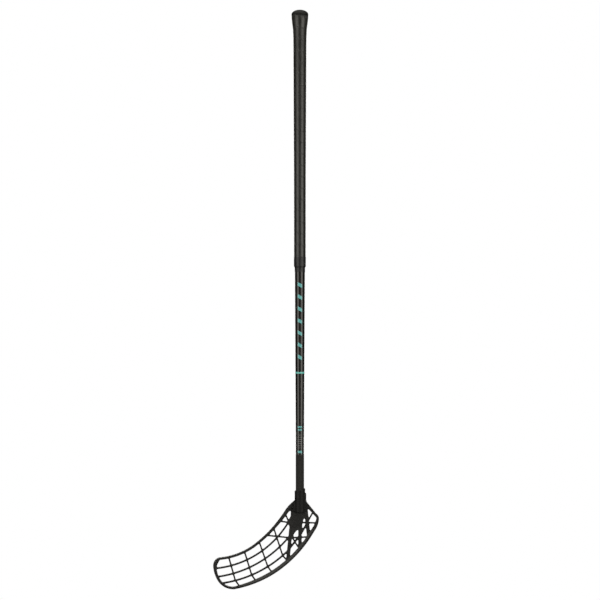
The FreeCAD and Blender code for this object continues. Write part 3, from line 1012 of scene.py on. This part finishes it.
@dataclass
class Grip:
    """Cushioned strip wound down the butt, and the finishing tape on its lower end."""

    skin: GripSkin = GripSkin("grip_skin")
    film: TapeFilm = TapeFilm("tape_film")
    top: float = 245.4 * MM
    end: float = -256.2 * MM
    pitch: float = 22.8 * MM
    seam: float = 0.14 * MM
    seam_drop: float = 0.37 * MM
    thickness: float = 1.45 * MM
    start_share: float = 0.35
    roll: float = 0.9 * MM
    groove_share: float = 0.2
    flat_steps: int = 12
    roll_steps: int = 4
    under_steps: int = 8
    spare: float = 48 * MM
    turns: int = 24
    steps: int = 60
    ray: float = 60 * MM
    cut: float = 0.01 * MM
    # Drop below the cap and outer radius, in millimetres
    stations: Points = (
        (0.0, 16.7), (8.8, 16.24), (18.8, 15.12), (26.8, 14.03), (38.8, 13.48), (52.8, 13.13),
        (110.0, 12.87), (190.0, 12.50), (319.0, 11.90), (420.0, 11.76), (501.6, 11.65),
    )
    station_steps: int = 5
    sleeve_sides: int = 128
    tape_top: float = -237.2 * MM
    tape_step: float = -259.2 * MM
    tape_end: float = -266.8 * MM
    tape_film: float = 0.25 * MM
    tape_high: float = 11.70 * MM
    tape_low: float = 10.19 * MM
    tape_slack: float = 0.1 * MM
    tape_knee: Span = (0.5 * MM, 1.6 * MM)
    tape_sides: int = 180
    tape_ring: float = 0.45 * MM
    tape_least_rings: int = 4
    wrap_pitch: float = 9.5 * MM
    wrap_ridge: float = 0.14 * MM
    pucker_above: float = 2.2 * MM
    pucker_reach: float = 2.4 * MM
    pucker_rise: float = 0.07 * MM
    # Waves round the shaft: count, phase and share
    pucker_waves: tuple[tuple[int, float, float], ...] = ((9, 1.3, 1.0), (17, 0.0, 0.6))

    def section(self) -> bpy.types.Mesh:
        """Cross-section of the strip as a loop of edges: across in X, thickness towards -Y.

        Returns:
            A mesh of edges.
        """
        half = (self.pitch - self.seam) / 2
        flat = half - self.roll
        top = []
        for step in range(self.flat_steps + 1):
            top.append((flat * (-1 + 2 * step / self.flat_steps), self.thickness))
        side = []
        for step in range(1, self.roll_steps + 1):
            angle = math.pi / 2 * step / self.roll_steps
            sunk = self.groove_share * (1 - math.cos(angle))
            side.append((flat + self.roll * math.sin(angle), self.thickness * (1 - sunk)))
        under = []
        for step in range(self.under_steps + 1):
            under.append((half * (1 - 2 * step / self.under_steps), 0.0))
        loop = top + side + under + [(-across, rise) for across, rise in reversed(side)]
        mesh = bpy.data.meshes.new("strip_section")
        edges = [(index, (index + 1) % len(loop)) for index in range(len(loop))]
        mesh.from_pydata([(across, -rise, 0) for across, rise in loop], edges, [])
        return mesh

    def sleeve(self) -> bpy.types.Mesh:
        """Surface that the strip is wound on, run past both ends.

        Returns:
            A turned mesh.
        """
        points = []
        for drop, radius in self.stations:
            points.append((radius * MM - self.thickness, self.top - drop * MM))
        line = curve_through(points, self.station_steps)
        line.insert(0, (line[0][0], self.top + self.spare))
        line.append((line[-1][0], self.end - self.spare))
        bore = [(line[-1][0] / 2, line[-1][1]), (line[-1][0] / 2, line[0][1])]
        return lathe("grip_sleeve", line + bore, self.sleeve_sides)

    def winding(self, sleeve: bpy.types.Object, material: bpy.types.Material) -> NodeShape:
        """Tree that sweeps the section along a straight line and winds the bar on to the sleeve.

        Args:
            sleeve: what the strip lies on.
            material: finish of the strip.

        Returns:
            The tree.
        """
        shape = NodeShape("wound_strip", {
            "Turns": self.turns,
            "Steps": self.steps,
            "Pitch": self.pitch,
            "Width": self.pitch - self.seam,
            "Top": self.top - self.seam_drop,
            "Start": self.start_share - 1.0,
            "Ray": self.ray,
            "Sleeve": sleeve,
        })
        graph, size = shape.graph, shape.inputs
        inputs = {"End": graph.join(X=size["Turns"])}
        line = graph.node("GeometryNodeCurvePrimitiveLine", None, inputs)
        count = size["Turns"] * size["Steps"] + 1.0
        path = graph.node("GeometryNodeResampleCurve", None, {"Curve": line, "Count": count})
        upright = graph.node("GeometryNodeSetCurveNormal", {"mode": "Z_UP"}, {"Curve": path})
        section = graph.node("GeometryNodeMeshToCurve", None, {0: size["Geometry"]})
        inputs = {"Curve": upright, "Profile Curve": section, "Fill Caps": True}
        bar = graph.node("GeometryNodeCurveToMesh", None, inputs)
        along, across, rise = graph.position()
        marked = graph.node(
            "GeometryNodeStoreNamedAttribute",
            {"data_type": "FLOAT", "domain": "POINT"},
            {"Geometry": bar, "Name": STRIP_MARK, "Value": across / (size["Width"] / 2.0)},
        )
        angle = along * math.tau
        drop = size["Pitch"] * (size["Start"] + along)
        height = size["Top"] - drop - size["Width"] / 2.0 + across
        cosine, sine = graph.math("COSINE", angle), graph.math("SINE", angle)
        inputs = {
            "Target Geometry": graph.shape_of(size["Sleeve"]),
            "Source Position": graph.join(X=cosine * size["Ray"], Y=sine * size["Ray"], Z=height),
            "Ray Direction": graph.join(X=cosine * -1.0, Y=sine * -1.0),
            "Ray Length": size["Ray"],
        }
        reach = graph.node("GeometryNodeRaycast", None, inputs, "Hit Distance")
        radius = size["Ray"] - reach + rise
        wound = graph.join(X=cosine * radius, Y=sine * radius, Z=height)
        inputs = {"Geometry": marked, "Position": wound}
        shape.close(graph.node("GeometryNodeSetPosition", None, inputs), material)
        return shape

    def trim(self, mesh: bpy.types.Mesh) -> None:
        """Cuts the strip off level at the cap and at its lower end, and closes the cuts.

        Args:
            mesh: mesh of the wound strip.
        """
        work = bmesh.new()
        work.from_mesh(mesh)
        for height, up in ((self.top, 1), (self.end, -1)):
            bmesh.ops.bisect_plane(
                work,
                geom=[*work.verts, *work.edges, *work.faces],
                dist=self.cut,
                plane_co=(0, 0, height),
                plane_no=(0, 0, up),
                clear_outer=True,
            )
            rim = [edge for edge in work.edges if edge.is_boundary]
            bmesh.ops.triangle_fill(work, edges=rim, use_beauty=True)
        bmesh.ops.recalc_face_normals(work, faces=work.faces)
        work.to_mesh(mesh)
        work.free()
        smooth_faces(mesh)

    def wrapped(self, angle: float, radius: float, height: float) -> float:
        """Radius of the tape: overlaps and puckers on its outside, plain on its inside.

        Args:
            angle: turn about the axis.
            radius: plain radius.
            height: height on the axis.

        Returns:
            The radius.
        """
        inside = self.tape_low if height <= self.tape_step else self.tape_high
        if radius <= inside + self.tape_film / 2:
            return radius
        wraps = (self.tape_top - height) / self.wrap_pitch + angle / math.tau
        lap = wraps - math.floor(wraps)
        ridge = self.wrap_ridge * max(0.0, 1 - lap / HALF)
        near = math.exp(-((height - self.tape_step - self.pucker_above) / self.pucker_reach) ** 2)
        waves = sum(
            share * math.sin(count * angle + phase) for count, phase, share in self.pucker_waves
        )
        return radius + ridge + self.pucker_rise * near * waves

    def end_tape(self) -> bpy.types.Mesh:
        """Finishing tape as a thin closed sleeve.

        Returns:
            The mesh.
        """
        knee_out, knee_drop = self.tape_knee
        inner = [
            (self.tape_high, self.tape_top),
            (self.tape_high, self.end - self.tape_slack),
            (self.tape_low + knee_out, self.end - knee_drop),
            (self.tape_low, self.tape_step),
            (self.tape_low, self.tape_end),
        ]
        outer = []
        for (r_start, z_start), (r_end, z_end) in zip(inner, inner[1:]):
            rings = max(self.tape_least_rings, round((z_start - z_end) / self.tape_ring))
            for ring in range(rings):
                share = ring / rings
                ease = share * share * (3 - 2 * share)
                radius = r_start + (r_end - r_start) * ease + self.tape_film
                outer.append((radius, z_start + (z_end - z_start) * share))
        outer.append((inner[-1][0] + self.tape_film, inner[-1][1]))
        return lathe("finishing_tape", outer + inner[::-1], self.tape_sides, self.wrapped)

    def build(self) -> None:
        """Winds the strip and wraps the tape."""
        sleeve = new_object("grip_sleeve", self.sleeve())
        blank = new_object("strip_blank", self.section())
        mesh = self.winding(sleeve, self.skin.material()).mesh_of(blank)
        self.trim(mesh)
        for spare in (sleeve, blank):
            bpy.data.objects.remove(spare)
        settle(new_object("grip_strip", mesh), "grip_tape")
        tape = new_object("finishing_tape", self.end_tape())
        tape.data.materials.append(self.film.material())
        settle(tape, "grip_end_tape")


@dataclass
class Blade:
    """Moulded blade with its screw."""

    plastic: BladePlastic = BladePlastic("blade_plastic")
    steel: ScrewSteel = ScrewSteel("screw_steel")
    fillet: float = 0.6 * MM
    edge: float = 0.35 * MM
    fine: float = 0.6 * MM
    voxel: float = 0.72 * MM
    band: int = 4
    weld: float = 0.001 * MM
    foot: float = -743.8 * MM
    lean_deg: float = 18.5
    hook_radius: float = 900 * MM
    hook_start: float = 25 * MM
    depth: float = 9 * MM
    # Lines across and up, in millimetres
    rim_line: Points = (
        (-131.2, -903.7), (-94.8, -892.8), (-58.7, -875.6), (-10.6, -837.7), (29.3, -784.9),
        (36.4, -770.8),
    )
    rim_steps: int = 8
    shoulder_line: Points = (
        (-10.5, -723.8), (-22.3, -734.7), (-28.8, -742.7), (-43.5, -763.0), (-58.7, -782.2),
    )
    shoulder_steps: int = 6
    pocket_line: Points = ((-15.6, -741.6), (-14.2, -732.8))
    pocket_steps: int = 1
    lip: float = 3.1 * MM
    ledge: float = 4.0 * MM
    # Width over which the painted highlight rises at the ledge's brink
    ledge_brink: float = 0.8 * MM
    ledge_fade: float = 4 * MM
    ledge_toe: Span = (-131 * MM, -112 * MM)
    ledge_heel: Span = (-797 * MM, -773 * MM)
    shoulder: float = 3.6 * MM
    shoulder_drop: float = 0.8
    shoulder_end: Span = (-58 * MM, -36 * MM)
    pocket_half: float = 2.3 * MM
    pocket_edge: float = 1.1 * MM
    pocket_depth: float = 2.4 * MM
    hatch_pitch: float = 6.6 * MM
    hatch_start: float = -740.9 * MM
    hatch_fade: Span = (0.22, 0.42)

    def blank(self) -> bpy.types.Object:
        """Copy of the CAD blade with its loose triangles joined.

        Returns:
            A closed object.
        """
        work = bmesh.new()
        work.from_mesh(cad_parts["blade"].data)
        bmesh.ops.remove_doubles(work, verts=work.verts, dist=self.weld)
        return new_object("blade_blank", mesh_from(work, "blade_blank"))

    def line_object(self, name: str, points: Points, steps: int) -> bpy.types.Object:
        """Line in the plane of the blade.

        Args:
            name: name of the object.
            points: points across and up, in millimetres.
            steps: steps between neighbours.

        Returns:
            An object of edges.
        """
        line = curve_through([(across * MM, height * MM) for across, height in points], steps)
        mesh = bpy.data.meshes.new(name)
        edges = [(index, index + 1) for index in range(len(line) - 1)]
        mesh.from_pydata([(across, 0, height) for across, height in line], edges, [])
        return new_object(name, mesh)

    def moulding(self, material: bpy.types.Material, lines: list[bpy.types.Object]) -> NodeShape:
        """Tree that fills inner corners and rounds outer edges, as a mould does.

        Args:
            material: finish of the blade.
            lines: lines of the lower rim, of the shoulder and of the pockets.

        Returns:
            The tree.
        """
        shape = NodeShape("moulded_edges", {
            "Fillet": self.fillet,
            "Edge": self.edge,
            "Fine": self.fine,
            "Voxel": self.voxel,
            "Band": self.band,
            "Lip": self.lip,
            "Ledge": self.ledge,
            "Fade": self.ledge_fade,
            "Pocket": self.pocket_half,
            "Pocket Depth": self.pocket_depth,
            "Shoulder": self.shoulder,
            "Rim Line": lines[0],
            "Shoulder Line": lines[1],
            "Pocket Line": lines[2],
        })
        graph, size = shape.graph, shape.inputs
        solid = size["Geometry"]
        passes = (
            (size["Fine"], size["Fillet"]),
            (size["Fine"], size["Fillet"] * -1.0 - size["Edge"]),
            (size["Voxel"], size["Edge"]),
        )
        for voxel, offset in passes:
            inputs = {"Mesh": solid, "Voxel Size": voxel, "Band Width": size["Band"]}
            field = graph.node("GeometryNodeMeshToSDFGrid", None, inputs)
            solid = graph.node("GeometryNodeGridToMesh", None, {"Grid": field, "Threshold": offset})
        shape.close(self.pressed(graph, size, solid), material)
        return shape

    def distance(self, graph: Graph, line: Wire, flat: Wire) -> Wire:
        """Distance of each point to a line, seen from the front.

        Args:
            graph: the tree's graph.
            line: the line's object.
            flat: each point's place in the plane of the blade.

        Returns:
            The distance.
        """
        inputs = {"Geometry": graph.shape_of(line), "Sample Position": flat}
        return graph.node("GeometryNodeProximity", {"target_element": "EDGES"}, inputs, "Distance")

    def rear(self, graph: Graph, across: Wire, height: Wire) -> Wire:
        """Depth of the rear of the rim, which follows the hook.

        Args:
            graph: the tree's graph.
            across: each point's place across.
            height: each point's height.

        Returns:
            The depth.
        """
        lean = math.radians(self.lean_deg)
        along = across * -math.cos(lean) - (height - self.foot) * math.sin(lean) - self.hook_start
        bent = graph.math("MAXIMUM", along, 0.0)
        middle = self.hook_radius - graph.math("SQRT", self.hook_radius ** 2 - bent * bent)
        return middle + self.depth / 2

    def pressed(self, graph: Graph, size: dict[str, Wire], solid: Wire) -> Wire:
        """Presses the front in: a ledge in the lower rim, a sloped shoulder and two pockets.

        Args:
            graph: the tree's graph.
            size: the tree's inputs.
            solid: the moulded blade.

        Returns:
            The pressed blade.
        """
        across, deep, height = graph.position()
        flat = graph.join(X=across, Z=height)
        from_rim = self.distance(graph, size["Rim Line"], flat)
        inner = size["Lip"] + size["Ledge"]
        slope = graph.fade(from_rim, size["Lip"], inner, even=True)
        beyond = graph.fade(from_rim, inner, inner + size["Fade"], even=True)
        # Mask of the painted highlight: up at the ledge's brink, down past its inner end, kept on
        # the mesh for the material
        highlight_brink = graph.fade(from_rim, size["Lip"], size["Lip"] + self.ledge_brink, even=True)
        ends = graph.fade(across, *self.ledge_toe) * (1.0 - graph.fade(height, *self.ledge_heel))
        inputs = {"Geometry": solid, "Name": LEDGE_HIGHLIGHT_MARK, "Value": (highlight_brink - beyond) * ends}
        marked = graph.node("GeometryNodeStoreNamedAttribute", {"data_type": "FLOAT"}, inputs)
        ledge = (slope - beyond) * ends * size["Ledge"]
        from_shoulder = self.distance(graph, size["Shoulder Line"], flat)
        steep = 1.0 - graph.fade(from_shoulder, 0.0, size["Shoulder"], even=True)
        steep = steep * graph.fade(across, *self.shoulder_end)
        shoulder = steep * size["Shoulder"] * self.shoulder_drop
        from_pocket = self.distance(graph, size["Pocket Line"], flat)
        inside = 1.0 - graph.fade(from_pocket, size["Pocket"] - self.pocket_edge, size["Pocket"])
        hatch = graph.math("PINGPONG", (height - self.hatch_start) / self.hatch_pitch, HALF)
        pocket = inside * (1.0 - graph.fade(hatch, *self.hatch_fade)) * size["Pocket Depth"]
        rear = self.rear(graph, across, height)
        left = 1.0 - (ledge + shoulder + pocket) / self.depth
        place = graph.join(X=across, Y=rear - (rear - deep) * left, Z=height)
        return graph.node("GeometryNodeSetPosition", None, {"Geometry": marked, "Position": place})

    def build(self) -> None:
        """Moulds the blade and finishes the screw."""
        blank = self.blank()
        lines = [
            self.line_object("rim_line", self.rim_line, self.rim_steps),
            self.line_object("shoulder_line", self.shoulder_line, self.shoulder_steps),
            self.line_object("pocket_line", self.pocket_line, self.pocket_steps),
        ]
        mesh = self.moulding(self.plastic.material(), lines).mesh_of(blank)
        for spare in (blank, *lines):
            bpy.data.objects.remove(spare)
        smooth_faces(mesh)
        settle(new_object("moulded_blade", mesh), "blade")
        dress("blade_screw", self.steel)


@dataclass
class Softbox:
    """One soft lamp, aimed at a point."""

    name: str
    place: Vector
    target: Vector
    width: float
    height: float
    radiance: float
    tint: Rgb

    def build(self) -> None:
        """Puts the lamp into the scene, unseen by the camera."""
        lamp = bpy.data.lights.new(self.name, "AREA")
        lamp.shape = "RECTANGLE"
        lamp.size, lamp.size_y = self.width, self.height
        lamp.energy = self.radiance * math.pi * self.width * self.height
        lamp.color = self.tint
        made = bpy.data.objects.new(self.name, lamp)
        turn = (self.target - self.place).to_track_quat("-Z", "Y")
        made.matrix_world = Matrix.Translation(self.place) @ turn.to_matrix().to_4x4()
        made.visible_camera = False
        bpy.context.scene.collection.objects.link(made)


@dataclass
class Studio:
    """White studio: floor, soft lamps, surround and camera."""

    eye: Vector = Vector((0.00024, -3.2, -0.3234))
    lens: float = 96.0
    sensor: float = 36.0
    lamp_turn_deg: float = 46.0
    lamp_reach: float = 2.1
    lamp_size: Span = (1.6, 2.2)
    lamp_radiances: Span = (1.85, 2.15)
    lamp_tint: Rgb = (1.0, 0.97, 0.90)
    top_place: Vector = Vector((0.0, -0.4, 1.0))
    top_size: Span = (2.4, 1.2)
    top_radiance: float = 2.5
    low_place: Vector = Vector((0.0, -0.7, -0.90))
    low_size: Span = (2.4, 1.4)
    low_radiance: float = 0.15
    back_place: Vector = Vector((0.0, 2.6, -0.45))
    back_size: Span = (1.8, 2.2)
    back_radiance: float = 4.0
    aim: Vector = Vector((0.0, 0.0, -0.58))
    dim: float = 0.012
    floor_white: FloorWhite = FloorWhite("white_floor")
    floor_drop: float = 0.6 * MM
    floor_radius: float = 4.0
    floor_sides: int = 96

    def lamps(self) -> list[Softbox]:
        """Soft lamps left and right of the camera, above, low down and behind.

        Returns:
            The lamps.
        """
        made = []
        turn = math.radians(self.lamp_turn_deg)
        for side, sign, radiance in zip(("left", "right"), (-1, 1), self.lamp_radiances):
            way = Vector((sign * math.sin(turn), -math.cos(turn), 0)) * self.lamp_reach
            light = (*self.lamp_size, radiance, self.lamp_tint)
            made.append(Softbox(f"softbox_{side}", self.aim + way, self.aim, *light))
        others = (
            ("top", self.top_place, Vector((0, 0, -1)), self.top_size, self.top_radiance),
            ("low", self.low_place, Vector((0, 0, 1)), self.low_size, self.low_radiance),
            ("back", self.back_place, Vector((0, -1, 0)), self.back_size, self.back_radiance),
        )
        for name, place, way, size, radiance in others:
            light = (*size, radiance, self.lamp_tint)
            made.append(Softbox(f"softbox_{name}", place, place + way, *light))
        return made

    def surround(self) -> None:
        """White to the eye, dim to everything that it would light."""
        world = bpy.data.worlds.new("surround")
        bpy.context.scene.world = world
        world.use_nodes = True
        graph = Graph(world.node_tree)
        seen = graph.node("ShaderNodeLightPath", None, None, "Is Camera Ray")
        white, dim = (
            graph.node("ShaderNodeBackground", None, {"Color": WHITE, "Strength": strength})
            for strength in (1.0, self.dim)
        )
        both = graph.node("ShaderNodeMixShader", None, {0: seen, 1: dim, 2: white})
        graph.node("ShaderNodeOutputWorld", None, {"Surface": both})

    def floor(self) -> None:
        """Plain white floor just under the blade."""
        work = bmesh.new()
        bmesh.ops.create_circle(
            work, cap_ends=True, segments=self.floor_sides, radius=self.floor_radius
        )
        level = Matrix.Translation((0, 0, CAD_BOX[0].z - self.floor_drop))
        bmesh.ops.transform(work, matrix=level, verts=work.verts)
        floor = new_object("floor", mesh_from(work, "floor"))
        floor.data.materials.append(self.floor_white.material())
        floor.visible_glossy = False
        floor.visible_diffuse = False

    def camera(self) -> None:
        """Camera square on to the stick and level."""
        data = bpy.data.cameras.new("camera")
        data.sensor_width = self.sensor
        data.lens = self.lens
        made = bpy.data.objects.new("camera", data)
        made.matrix_world = Matrix.Translation(self.eye) @ Matrix.Rotation(math.pi / 2, 4, "X")
        bpy.context.scene.collection.objects.link(made)
        bpy.context.scene.camera = made

    def build(self) -> None:
        """Sets up the studio."""
        bpy.context.scene.view_settings.view_transform = "Standard"
        self.surround()
        self.floor()
        for lamp in self.lamps():
            lamp.build()
        self.camera()


def main() -> None:
    """Builds the stick and its studio."""
    logging.basicConfig(level=logging.INFO, format="%(name)s: %(message)s")
    for assembly in (Shaft(), EndCap(), Grip(), Blade(), Studio()):
        LOG.info("building %s", type(assembly).__name__)
        assembly.build()


if __name__ == "__main__":
    main()
